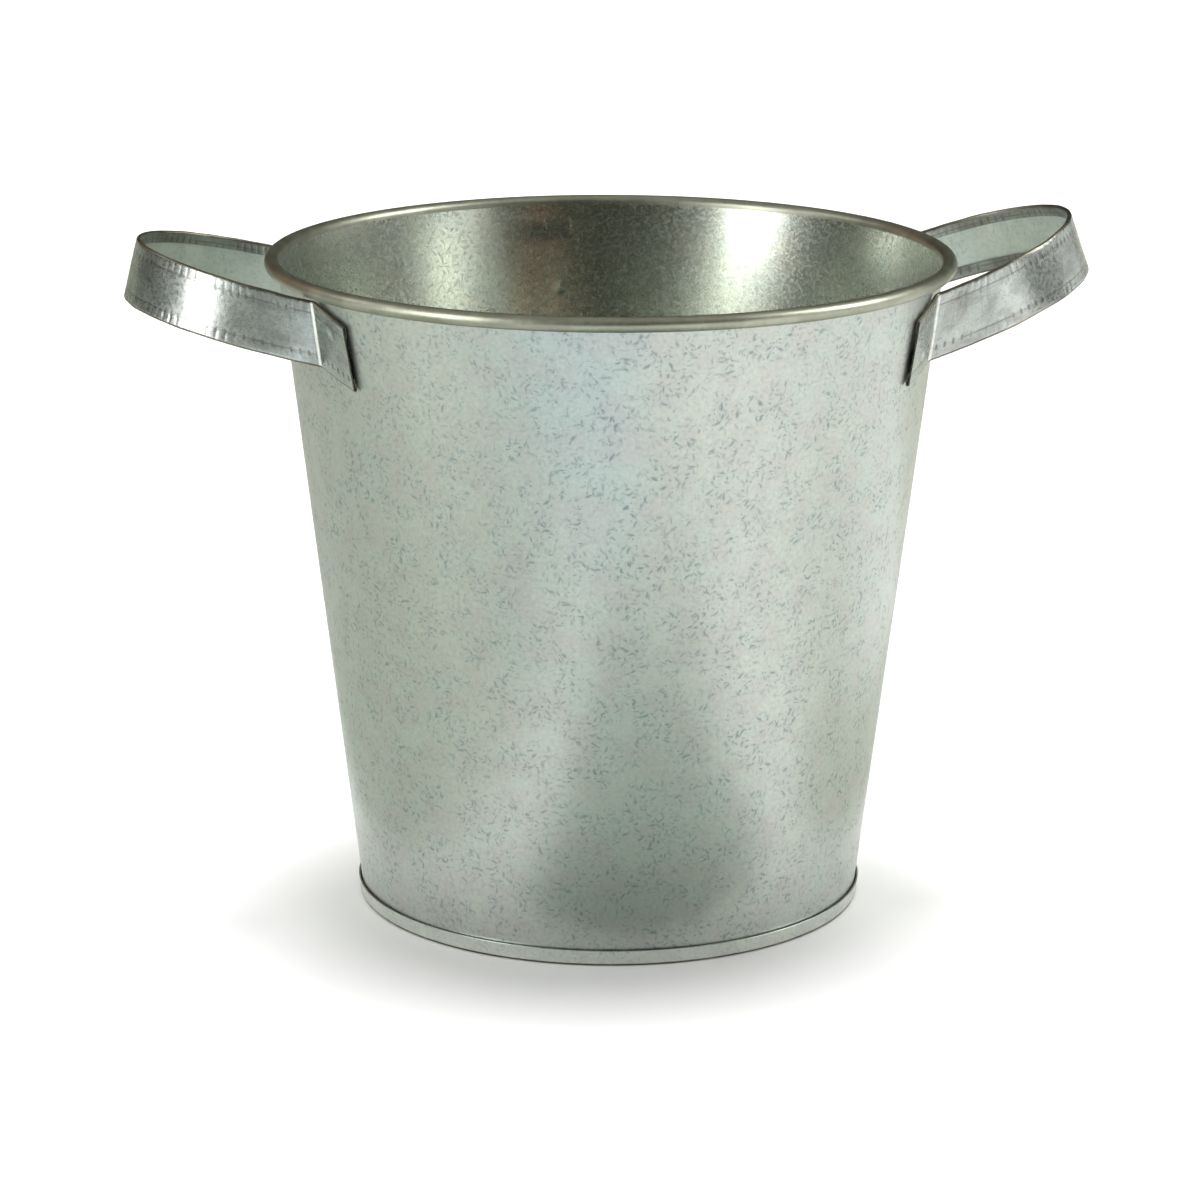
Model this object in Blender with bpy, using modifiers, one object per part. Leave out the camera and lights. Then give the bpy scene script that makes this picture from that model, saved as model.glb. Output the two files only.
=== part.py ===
"""Galvanised florist bucket: a tapered sheet-steel pail with two fixed strap handles.

The wall is one rolled sheet, lapped and welded down the back. Its top edge is curled outward over a steel
wire, and its bottom edge stands in the edge of a countersunk pan, which turns under it and up again around
it as a low ring. Each handle is a strip with hemmed edges, bent into a half-oval loop, and its two ends
turn out onto the wall.

Frame: origin at the centre of the base on the floor, +Z up, handles along +X and -X. Units are metres.
"""
import math

import bmesh
import bpy
from mathutils import Vector

# Driving dimensions of the pail
HEIGHT = 0.1921
RIM_RADIUS = 0.1000             # to the outside of the rim bead
TAPER = math.radians(6.85)      # lean of the wall from the vertical
BEAD_RADIUS = 0.00215           # of the rolled rim, over the sheet
SHEET = 0.0005                  # thickness of the wall
PAN_SHEET = 0.00045             # thickness of the bottom pan
GAP = 0.0003                    # left between pieces that touch
SLACK = 0.00005                 # a little more, for the flats of the facets
CURL_END = -135                 # where the rim's curl stops around the wire, in degrees from outward
FLOOR_HEIGHT = 0.0060           # middle of the pan's floor, above the ground
FLOOR_FILLET = 0.0015
RING_HEIGHT = 0.0046            # of the pan's edge, turned up around the wall's foot
RING_FLAT = 0.0006              # width of its underside, on which the pail stands
LAP_WIDTH = 0.0070              # of the sheet's overlap at the back
LAP_FOOT = 0.0090               # height where it starts, clear of the pan
LAP_BELOW_BEAD = 0.0060         # how far under the bead's middle it stops
LAP_DEPTH = SHEET * 1.5         # of the strip that stands for it, half of it in the wall

# Driving dimensions of the handles
STRAP_SHEET = 0.00045
STRAP_WIDTH = 0.0178
HEM_WIDTH = 0.0035
HEM_SPACING = 0.0008            # from the strap's face to its folded hem, middle to middle
LOOP_LENGTH = 0.0488            # from the loop's widest place to its end
LOOP_HALF_WIDTH = 0.0398
LOOP_EDGE_X = 0.0885            # the strap's upper edge at the loop's widest place
HANDLES = {                     # turn about Z, tilt of the loop, height of the upper edge at the wall
    "handle_right": (0.0, math.radians(20), 0.1856),
    "handle_left": (math.pi, math.radians(14), 0.1869),
}
BEND_RADIUS = 0.0016            # where the strap turns out onto the wall
TAB_LENGTH = 0.0154             # of the strap's end on the wall
TAB_FALL = math.radians(17)     # how steeply it runs downhill there
TAB_END_LEAN = math.radians(7)  # of its cut end from the upright, lower corner outward
FAN_START = math.radians(50)    # along the loop, where the strap's stations begin to lean to the bend

# Fineness of the mesh
TURN_STEPS = 64                 # around the pail
CURL_STEPS = 13                 # around the rim's curl
FILLET_STEPS = 3                # from the pan's floor to its wall
FOOT_STEPS = 4                  # around each corner of the pan's edge under the wall
WIRE_STEPS = 10                 # around the wire's section
LOOP_STEPS = 20
BEND_STEPS = 4
TAB_STEPS = 4
ROLL_STEPS = 4                  # around a hem's rolled edge
CORNER_ROUNDS = 30              # of the search for the strap's corner on the wall
MERGE = 0.00001                 # distance under which vertices are joined

# Sizes that follow
BEAD_MIDDLE = BEAD_RADIUS - SHEET / 2
BEAD_R = RIM_RADIUS - BEAD_RADIUS
BEAD_Z = HEIGHT - BEAD_RADIUS
WIRE_RADIUS = BEAD_RADIUS - SHEET - GAP - SLACK
FOOT_Z = PAN_SHEET + GAP + 2 * SLACK        # of the wall's lower edge, inside the pan's
TURN_RADIUS = SHEET / 2 + GAP + SLACK + PAN_SHEET / 2 - RING_FLAT / 2
TURN_Z = PAN_SHEET / 2 + TURN_RADIUS


def wall_middle(z):
    """Radius of the middle of the wall's sheet at a height: a line tangent to the inside of the bead."""
    tangent_r = BEAD_R - BEAD_MIDDLE * math.cos(TAPER)
    tangent_z = BEAD_Z + BEAD_MIDDLE * math.sin(TAPER)
    return tangent_r + (z - tangent_z) * math.tan(TAPER)


FOOT_R = wall_middle(FOOT_Z)
TURN_R = wall_middle(TURN_Z)


def arc(centre_r, centre_z, radius, start, end, steps):
    """Points along an arc in the turning plane. Angles are in degrees from the outward direction."""
    points = []
    for i in range(steps + 1):
        angle = math.radians(start + (end - start) * i / steps)
        points.append((centre_r + radius * math.cos(angle), centre_z + radius * math.sin(angle)))
    return points


def make_material(name, colour, metallic, roughness):
    material = bpy.data.materials.new(name)
    material.use_nodes = True
    shader = material.node_tree.nodes["Principled BSDF"]
    shader.inputs["Base Color"].default_value = (*colour, 1.0)
    shader.inputs["Metallic"].default_value = metallic
    shader.inputs["Roughness"].default_value = roughness
    material.diffuse_color = (*colour, 1.0)
    return material


def link_mesh(name, mesh, collection, material=None):
    piece = bpy.data.objects.new(name, mesh)
    if material:
        mesh.materials.append(material)
    collection.objects.link(piece)
    return piece


def add_solidify(piece, thickness):
    """Give an open surface a thickness, half to each side."""
    solidify = piece.modifiers.new("Sheet", "SOLIDIFY")
    solidify.thickness = thickness
    solidify.offset = 0.0
    solidify.use_even_offset = True


def turned_sheet(name, profile, thickness, collection, material):
    """A sheet-metal piece turned about Z from the middle line of its section."""
    mesh = bpy.data.meshes.new(name)
    points = [(r, 0.0, z) for r, z in profile]
    edges = [(i, i + 1) for i in range(len(points) - 1)]
    mesh.from_pydata(points, edges, [])
    piece = link_mesh(name, mesh, collection, material)
    screw = piece.modifiers.new("Turn", "SCREW")
    screw.axis = "Z"
    screw.angle = math.tau
    screw.steps = TURN_STEPS
    screw.render_steps = TURN_STEPS
    screw.use_merge_vertices = True
    screw.merge_threshold = MERGE
    screw.use_smooth_shade = True
    add_solidify(piece, thickness)
    return piece


def lap_cutter(collection):
    """The overlapping edge of the sheet: a flat strip up the inside of the back, one facet wide."""
    top = BEAD_Z - LAP_BELOW_BEAD
    length = (top - LAP_FOOT) / math.cos(TAPER)
    middle_z = (LAP_FOOT + top) / 2
    facet = math.tau / TURN_STEPS
    turn = math.radians(90) + facet / 2
    # The facet's middle lies a little nearer the axis than its corners do.
    radius = wall_middle(middle_z) * math.cos(facet / 2) - SHEET / 2

    bpy.ops.mesh.primitive_cube_add(size=1.0)
    lap = bpy.context.object
    lap.name = "lap"
    lap.data.transform(lap.matrix_world)
    for vertex in lap.data.vertices:
        vertex.co = (vertex.co.x * LAP_DEPTH, vertex.co.y * LAP_WIDTH, vertex.co.z * length)
    lap.location = (radius * math.cos(turn), radius * math.sin(turn), middle_z)
    lap.rotation_euler = (0.0, TAPER, turn)
    lap.hide_render = True
    lap.display_type = "WIRE"
    for old in lap.users_collection:
        old.objects.unlink(lap)
    collection.objects.link(lap)
    return lap


def make_body_shell(parts, helpers):
    """The wall, with its rim curl at the top."""
    lean = math.degrees(TAPER)
    rim_curl = arc(BEAD_R, BEAD_Z, BEAD_MIDDLE, CURL_END, 180 - lean, CURL_STEPS)
    material = make_material("body_zinc", (0.56, 0.60, 0.58), 1.0, 0.38)
    shell = turned_sheet("body_shell", rim_curl + [(FOOT_R, FOOT_Z)], SHEET, parts, material)
    union = shell.modifiers.new("Lap", "BOOLEAN")
    union.operation = "UNION"
    union.object = lap_cutter(helpers)
    return shell


def make_bottom_pan(parts):
    """The floor, its countersunk wall, and its edge turned up around the body's foot."""
    lean = math.degrees(TAPER)
    inner_r = TURN_R - RING_FLAT / 2
    outer_r = TURN_R + RING_FLAT / 2
    side_r = inner_r - TURN_RADIUS * math.cos(TAPER)
    side_z = TURN_Z + TURN_RADIUS * math.sin(TAPER)
    fillet_z = FLOOR_HEIGHT - FLOOR_FILLET
    fillet_r = side_r + (fillet_z - side_z) * math.tan(TAPER) - FLOOR_FILLET / math.cos(TAPER)

    profile = [(0.0, FLOOR_HEIGHT)]
    profile += arc(fillet_r, fillet_z, FLOOR_FILLET, 90, -lean, FILLET_STEPS)
    profile += arc(inner_r, TURN_Z, TURN_RADIUS, 180 - lean, 270, FOOT_STEPS)
    profile += arc(outer_r, TURN_Z, TURN_RADIUS, 270, 360 - lean, FOOT_STEPS)
    ring_r, ring_z = profile[-1]
    profile.append((ring_r + (RING_HEIGHT - ring_z) * math.tan(TAPER), RING_HEIGHT))
    material = make_material("pan_zinc", (0.50, 0.54, 0.52), 1.0, 0.42)
    return turned_sheet("bottom_pan", profile, PAN_SHEET, parts, material)


def make_rim_wire(parts):
    """The steel wire that the rim is rolled over."""
    bpy.ops.mesh.primitive_torus_add(
        location=(0.0, 0.0, BEAD_Z), major_segments=TURN_STEPS, minor_segments=WIRE_STEPS,
        major_radius=BEAD_R, minor_radius=WIRE_RADIUS)
    wire = bpy.context.object
    wire.name = "rim_wire"
    wire.data.shade_smooth()
    wire.data.materials.append(make_material("wire_steel", (0.42, 0.42, 0.40), 1.0, 0.35))
    for old in wire.users_collection:
        old.objects.unlink(wire)
    parts.objects.link(wire)
    return wire


def strap_section():
    """The strap's section as (across, out) points: hem, rolled edge, face, rolled edge, hem."""
    roll = HEM_SPACING / 2
    roll_centre = STRAP_WIDTH / 2 - roll - STRAP_SHEET / 2
    hem_end = STRAP_WIDTH / 2 - HEM_WIDTH
    upper = []
    for i in range(ROLL_STEPS + 1):
        angle = math.pi * i / ROLL_STEPS
        upper.append((roll_centre + roll * math.sin(angle), -roll + roll * math.cos(angle)))
    upper.append((hem_end, -HEM_SPACING))
    lower = [(-across, out) for across, out in reversed(upper)]
    return lower + [(0.0, 0.0)] + upper


def smooth_step(value):
    value = min(1.0, max(0.0, value))
    return value * value * (3.0 - 2.0 * value)


class Strap:
    """Half of a handle's strap on the +X side, from the loop's end to the free end on the wall.

    A place on it is a station along the strap, and a point of the section across it. The loop lies in a
    tilted plane. The strap meets the wall along a line that leans from the strap's own square, so the
    stations fan out towards that line, and the strap runs downhill once it has turned onto the wall.
    """

    def __init__(self, tilt, edge_height):
        self.tilt = tilt
        self.out = Vector((math.cos(tilt), 0.0, math.sin(tilt)))
        self.up = Vector((-math.sin(tilt), 0.0, math.cos(tilt)))
        self.side = Vector((0.0, 1.0, 0.0))
        self.centre = Vector((LOOP_EDGE_X, 0.0, edge_height)) - self.up * (STRAP_WIDTH / 2)
        self.find_corner()
        self.find_bend()

    def tab_radius(self, z):
        """Radius of the middle of the strap's face where it lies on the wall."""
        stack = SHEET / 2 + GAP + SLACK + STRAP_SHEET / 2 + HEM_SPACING
        return wall_middle(z) + stack / math.cos(TAPER)

    def find_corner(self):
        """Where the strap's middle line would meet the wall with no bend radius."""
        x = self.centre.x
        for _ in range(CORNER_ROUNDS):
            z = self.centre.z + (x - self.centre.x) * math.tan(self.tilt)
            x = math.sqrt(self.tab_radius(z) ** 2 - LOOP_HALF_WIDTH ** 2)
        self.corner = Vector((x, LOOP_HALF_WIDTH, z))
        self.corner_angle = math.atan2(LOOP_HALF_WIDTH, x)

    def find_bend(self):
        """The bend's axis lies in the strap's arm and along the wall."""
        angle = self.corner_angle
        self.wall_normal = Vector((math.cos(angle) * math.cos(TAPER), math.sin(angle) * math.cos(TAPER),
                                   -math.sin(TAPER)))
        self.axis = self.wall_normal.cross(self.side)
        if self.axis.z < 0.0:
            self.axis.negate()
        self.axis.normalize()
        self.slant = self.axis.dot(self.out) / self.axis.dot(self.up)
        inward = -self.out - self.axis * self.axis.dot(-self.out)
        self.inward = inward.normalized()
        self.turn = math.acos(self.side.dot(self.wall_normal))
        setback = BEND_RADIUS * math.tan(self.turn / 2) * math.sqrt(1 + self.slant ** 2)
        self.bend_start = self.corner + self.out * setback
        run = (self.centre.x - self.bend_start.x) / math.cos(self.tilt)
        self.arm_end = math.pi / 2 + run / LOOP_LENGTH

    def loop_place(self, phase, across, outward):
        """A point on the loop: an ellipse up to a quarter turn, then straight towards the wall."""
        fan = smooth_step((phase - FAN_START) / (self.arm_end - FAN_START))
        phase -= across * self.slant * fan / LOOP_LENGTH
        if phase < math.pi / 2:
            along = LOOP_LENGTH * math.cos(phase)
            beside = LOOP_HALF_WIDTH * math.sin(phase)
        else:
            along = -LOOP_LENGTH * (phase - math.pi / 2)
            beside = LOOP_HALF_WIDTH
        quarter = min(phase, math.pi / 2)
        normal = self.out * LOOP_HALF_WIDTH * math.cos(quarter) + self.side * LOOP_LENGTH * math.sin(quarter)
        middle = self.centre + self.out * along + self.side * beside
        return middle + self.up * across + normal.normalized() * outward

    def bend_place(self, angle, across, outward):
        """A point in the bend, which turns the strap from the arm's plane to the wall."""
        normal = self.side * math.cos(angle) - self.inward * math.sin(angle)
        hub = self.bend_start + self.side * BEND_RADIUS
        width = self.axis * math.sqrt(1 + self.slant ** 2)
        slide = self.axis * (-BEND_RADIUS * angle * self.slant)
        return hub - normal * BEND_RADIUS + slide + width * across + normal * outward

    def tab_place(self, share, across, outward):
        """A point on the wall, from the bend at share 0 to the strap's free end at share 1."""
        start = self.bend_place(self.turn, 0.0, 0.0)
        start_angle = math.atan2(start.y, start.x)
        end_angle = self.corner_angle + TAB_LENGTH / self.corner.xy.length
        angle = start_angle + (end_angle - start_angle) * share
        z = start.z - math.tan(TAB_FALL) * (angle - start_angle) * start.xy.length
        radius = self.tab_radius(z)
        ray = Vector((math.cos(angle), math.sin(angle), 0.0))
        around = Vector((-math.sin(angle), math.cos(angle), 0.0))
        generator = Vector((ray.x * math.sin(TAPER), ray.y * math.sin(TAPER), math.cos(TAPER)))
        upright = generator / math.cos(TAB_FALL) - around * math.tan(TAB_END_LEAN)
        leaning = self.axis * math.sqrt(1 + self.slant ** 2)
        width = leaning.lerp(upright, share)
        normal = Vector((ray.x * math.cos(TAPER), ray.y * math.cos(TAPER), -math.sin(TAPER)))
        return Vector((radius * ray.x, radius * ray.y, z)) + width * across + normal * outward

    def place(self, station, across, outward):
        """The point of the section at a numbered station along the strap."""
        if station <= LOOP_STEPS:
            return self.loop_place(self.arm_end * station / LOOP_STEPS, across, outward)
        station -= LOOP_STEPS
        if station <= BEND_STEPS:
            return self.bend_place(self.turn * station / BEND_STEPS, across, outward)
        station -= BEND_STEPS
        return self.tab_place(station / TAB_STEPS, across, outward)


def make_handle(name, turn, tilt, edge_height, parts):
    """One handle: a flat grid laid over the strap's stations and section, mirrored, with thickness."""
    strap = Strap(tilt, edge_height)
    section = strap_section()
    rows = LOOP_STEPS + BEND_STEPS + TAB_STEPS
    columns = len(section) - 1
    mesh = bpy.data.meshes.new(name)
    grid = bmesh.new()
    bmesh.ops.create_grid(grid, x_segments=rows, y_segments=columns, size=0.5)
    for vertex in grid.verts:
        station = round((vertex.co.x + 0.5) * rows)
        across, outward = section[round((vertex.co.y + 0.5) * columns)]
        vertex.co = strap.place(station, across, outward)
        if station == 0:
            vertex.co.y = 0.0
    grid.to_mesh(mesh)
    grid.free()
    mesh.shade_smooth()
    material = make_material(name + "_zinc", (0.60, 0.62, 0.60), 1.0, 0.32)
    handle = link_mesh(name, mesh, parts, material)
    handle.rotation_euler = (0.0, 0.0, turn)
    mirror = handle.modifiers.new("Halves", "MIRROR")
    mirror.use_axis = (False, True, False)
    mirror.merge_threshold = MERGE
    add_solidify(handle, STRAP_SHEET)
    return handle


def main():
    for old in list(bpy.data.objects):
        bpy.data.objects.remove(old, do_unlink=True)
    parts = bpy.data.collections.new("florist_bucket")
    helpers = bpy.data.collections.new("helpers")
    bpy.context.scene.collection.children.link(parts)
    bpy.context.scene.collection.children.link(helpers)
    make_body_shell(parts, helpers)
    make_bottom_pan(parts)
    make_rim_wire(parts)
    for name, (turn, tilt, edge_height) in HANDLES.items():
        make_handle(name, turn, tilt, edge_height, parts)


main()
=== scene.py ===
"""Looks of the galvanised florist bucket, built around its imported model.

The pail's wall, its bottom and its two strap handles are rebuilt here as finer meshes with the marks of
sheet-metal work: the welded lap, spot welds, hems and crimps. The wire inside the rim keeps its CAD shape.
Units are metres, in the model's own frame: +Z up, handles along +X and -X, the lap at the back, +Y.
"""
import math

import bpy
from mathutils import Matrix, Vector, noise


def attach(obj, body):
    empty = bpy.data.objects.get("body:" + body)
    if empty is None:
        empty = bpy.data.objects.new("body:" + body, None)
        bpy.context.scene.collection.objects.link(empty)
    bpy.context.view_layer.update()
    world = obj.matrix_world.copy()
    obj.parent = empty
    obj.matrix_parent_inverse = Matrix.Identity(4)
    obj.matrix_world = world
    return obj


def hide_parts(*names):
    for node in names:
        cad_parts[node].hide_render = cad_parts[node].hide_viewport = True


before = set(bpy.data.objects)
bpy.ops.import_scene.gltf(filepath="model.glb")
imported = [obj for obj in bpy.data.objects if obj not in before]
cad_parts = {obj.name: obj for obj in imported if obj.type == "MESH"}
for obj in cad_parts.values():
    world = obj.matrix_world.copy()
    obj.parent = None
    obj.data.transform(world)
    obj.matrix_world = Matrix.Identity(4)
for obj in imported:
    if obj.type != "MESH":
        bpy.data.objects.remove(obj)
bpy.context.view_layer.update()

MILLIMETRE = 0.001

# The pail, as in the CAD model
HEIGHT = 0.1921
RIM_RADIUS = 0.1000
TAPER = math.radians(6.85)
BEAD_RADIUS = 0.00215
SHEET = 0.0005
PAN_SHEET = 0.00045
GAP = 0.0003
SLACK = 0.00005
FLOOR_HEIGHT = 0.0060
FLOOR_FILLET = 0.0015
RING_HEIGHT = 0.0046
RING_FLAT = 0.0006
RING_FLARE = 0.00010            # how far the ring's upper edge stands out from the wall's slope
RING_SHADOW_TOP = 0.00075            # painted dark as the contact shadow up to this height
CURL_END = -135                 # where the rim's curl stops around the wire, in degrees from outward
BEAD_MIDDLE = BEAD_RADIUS - SHEET / 2
BEAD_R = RIM_RADIUS - BEAD_RADIUS
BEAD_Z = HEIGHT - BEAD_RADIUS
FOOT_Z = PAN_SHEET + GAP + 2 * SLACK
TURN_RADIUS = SHEET / 2 + GAP + SLACK + PAN_SHEET / 2 - RING_FLAT / 2
TURN_Z = PAN_SHEET / 2 + TURN_RADIUS

# The handles, as in the CAD model
STRAP_SHEET = 0.00045
STRAP_WIDTH = 0.0178
HEM_WIDTH = 0.0035
HEM_SPACING = 0.0008
HEM_SHUT = 0.00055              # the same at the hem's cut edge, which is pressed down
LOOP_LENGTH = 0.0488
LOOP_HALF_WIDTH = 0.0398
LOOP_EDGE_X = 0.0885
HANDLES = {
    "handle_right": (0.0, math.radians(20), 0.1856),
    "handle_left": (math.pi, math.radians(14), 0.1869),
}
BEND_RADIUS = 0.0016
TAB_LENGTH = 0.0154
TAB_FALL = math.radians(17)
TAB_END_LEAN = math.radians(7)
FAN_START = math.radians(50)

# The lap: the wall's sheet passes under its own edge at the back, and the two are spot-welded together
LAP_EDGE = math.radians(95.0)   # the outer layer's edge, as an angle from +X
LAP_WIDTH = 0.0070
LAP_STEP = 0.00042              # how far the covered layer lies inside the other
LAP_RUN_OUT = 0.0140            # over which it comes back to the pail's own radius
LAP_TOP = 0.1830
LAP_FOOT = 0.0075
LAP_FADE = 0.0025
WELD_TOP = 0.1635
WELD_PITCH = 0.0155
WELD_COUNT = 10
WELD_RADIUS = 0.0019
WELD_DEPTH = 0.00026
WELD_RING = 1.6                 # reach of the low ring around a weld's dent, in its radii
WELD_BACK = 0.7                 # height of the bulge on the other face, as a share of the dent

# The unevenness of the rolled wall
WAVE_SLOW = 0.00018
WAVE_QUICK = 0.00004
WAVE_FOOT = 0.012               # height under which the wall runs true
WAVE_FOOT_RUN = 0.03
WAVE_TOP_RUN = 0.02

# The unevenness of the bottom pan and its ring
FLOOR_DOME = 0.0004
RING_BITE = 0.00004
RING_WANDER = 0.00006

# The handwork on the straps
CRIMP_PITCH = 0.0025
CRIMP_DEPTH = 0.00011
DENT_SLOW = 0.00016
DENT_QUICK = 0.00007
GROOVE_WIDTH = 0.0004
GROOVE_DEPTH = 0.00003
HEM_INNER_RUN = 0.0006          # over which the crimps fade in from the hem's line
HEM_OUTER_RUN = 0.0012          # and out again to the strap's rolled edge
HEM_WAVE = 0.00005
EDGE_WANDER = 0.00022
EDGE_SHADE_BAND = 0.00110             # width of the painted dark shade along a rolled edge
TAB_WELDS = ((0.52, 0.0042), (0.52, -0.0042))       # share of the tab's length, place across it
TAB_WELD_RADIUS = 0.0020
TAB_WELD_DEPTH = 0.00030
TAB_RELIEF = 0.00004            # the most that the tab's face stands out

# Fineness of the meshes
SHARP = math.radians(50)        # edges sharper than this aren't smoothed
HAIR = 0.00003                  # the least width of a column
TINY = 0.00001
LAP_RADIUS = 0.090              # where widths around the wall are measured
CURL_STEPS = 30
ROW_STEP = 0.0023
WELD_ROW_STEP = 0.00050
COLUMN_LEAST = 0.0004
COLUMN_MOST = 0.0038
COLUMN_GROWTH = 0.12
COLUMNS_END = 0.0085            # distance before the lap's edge where the wide columns end
LAP_COLUMNS = 17
PAN_COLUMNS = 360
FLOOR_START = 0.0004            # radius of the first ring of the pan's floor
FLOOR_STEPS = 24
PAN_ARC_STEPS = 8
RING_STEPS = 7
LOOP_STEPS = 190
BEND_STEPS = 10
TAB_STEPS = 24
FACE_STEPS = 26
HEM_STEPS = 4
ROLL_STEPS = 8
TRUE_STEPS = 20                 # stations before the bend over which the edges come to run true
CORNER_ROUNDS = 30              # of the search for the strap's corner on the wall


def wall_middle(z):
    """Radius of the middle of the wall's sheet at a height: a line tangent to the inside of the bead."""
    tangent_r = BEAD_R - BEAD_MIDDLE * math.cos(TAPER)
    tangent_z = BEAD_Z + BEAD_MIDDLE * math.sin(TAPER)
    return tangent_r + (z - tangent_z) * math.tan(TAPER)


TURN_R = wall_middle(TURN_Z)


def smooth_step(value):
    """0 below 0, 1 above 1, and a smooth rise between them."""
    value = min(1.0, max(0.0, value))
    return value * value * (3.0 - 2.0 * value)


def blend(a, b, share):
    return a + (b - a) * share


def arc(centre_r, centre_z, radius, start, end, steps):
    """Points along an arc in the turning plane. Angles are in degrees from the outward direction."""
    points = []
    for i in range(steps + 1):
        angle = math.radians(blend(start, end, i / steps))
        points.append((centre_r + radius * math.cos(angle), centre_z + radius * math.sin(angle)))
    return points


def waves(angle, z):
    """Slight unevenness of rolled sheet, in metres."""
    place = Vector((math.cos(angle) * 2.2, math.sin(angle) * 2.2, z * 6.0))
    slow = noise.noise(place + Vector((3.1, 0.4, 1.7)))
    quick = noise.noise(place * 3.3 + Vector((0.6, 7.2, 2.9)))
    return WAVE_SLOW * slow + WAVE_QUICK * quick


def weld_dimple(distance, radius=WELD_RADIUS, depth=WELD_DEPTH):
    """Depth of an electrode's dent at a distance from its middle, with a low ring around it."""
    share = distance / radius
    if share < 1.0:
        return depth * (1.0 - share * share) ** 2
    if share < WELD_RING:
        return -0.12 * depth * math.sin(math.pi * (share - 1.0) / (WELD_RING - 1.0))
    return 0.0


# ---------------------------------------------------------------- meshes

def side_normals(points):
    """Unit normals to the left of an open line of 2-D points."""
    normals = []
    for i in range(len(points)):
        before = points[max(0, i - 1)]
        after = points[min(len(points) - 1, i + 1)]
        run = Vector((after[0] - before[0], after[1] - before[1])).normalized()
        normals.append(Vector((-run.y, run.x)))
    return normals


def sheet_loop(points, thickness):
    """The closed outline of a sheet around its middle line: the left side, then the right side back.

    Each place is (middle point, normal, offset, index along the line, side)."""
    normals = side_normals(points)
    half = thickness / 2
    left = [(Vector(p), n, half, i, 1) for i, (p, n) in enumerate(zip(points, normals))]
    right = [(Vector(p), n, -half, i, -1) for i, (p, n) in enumerate(zip(points, normals))]
    return left + right[::-1]


def line_lengths(points):
    """Distance of each point from the first, along the line."""
    lengths = [0.0]
    for a, b in zip(points, points[1:]):
        lengths.append(lengths[-1] + math.dist(a, b))
    return lengths


def grid_piece(name, rings, closed, materials, pick_material, find_uv, replaces):
    """A mesh over a grid of points: rings of equal length, each ring closed, joined one to the next."""
    count = len(rings[0])
    vertices = [point for ring in rings for point in ring]
    faces, spots = [], []
    last = len(rings) if closed else len(rings) - 1
    for i in range(last):
        j = (i + 1) % len(rings)
        for k in range(count):
            m = (k + 1) % count
            faces.append((i * count + k, i * count + m, j * count + m, j * count + k))
            spots.append(((i, k), (i, m), (i + 1, m), (i + 1, k)))
    if not closed:
        faces.append(tuple(range(count))[::-1])
        spots.append([(0, k) for k in range(count)][::-1])
        end = (len(rings) - 1) * count
        faces.append(tuple(range(end, end + count)))
        spots.append([(len(rings) - 1, k) for k in range(count)])
    mesh = bpy.data.meshes.new(name)
    mesh.from_pydata(vertices, [], faces)
    uv_map = mesh.uv_layers.new(name="sheet")
    flat = []
    for face in spots:
        for i, k in face:
            flat.extend(find_uv(i, k, face))
    uv_map.data.foreach_set("uv", flat)
    for material in materials:
        mesh.materials.append(material)
    mesh.polygons.foreach_set("material_index", [pick_material(face) for face in spots])
    mesh.shade_smooth()
    mesh.set_sharp_from_angle(angle=SHARP)
    mesh.update()
    piece = bpy.data.objects.new(name, mesh)
    bpy.context.scene.collection.objects.link(piece)
    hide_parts(replaces)
    return piece


# ---------------------------------------------------------------- materials

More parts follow.
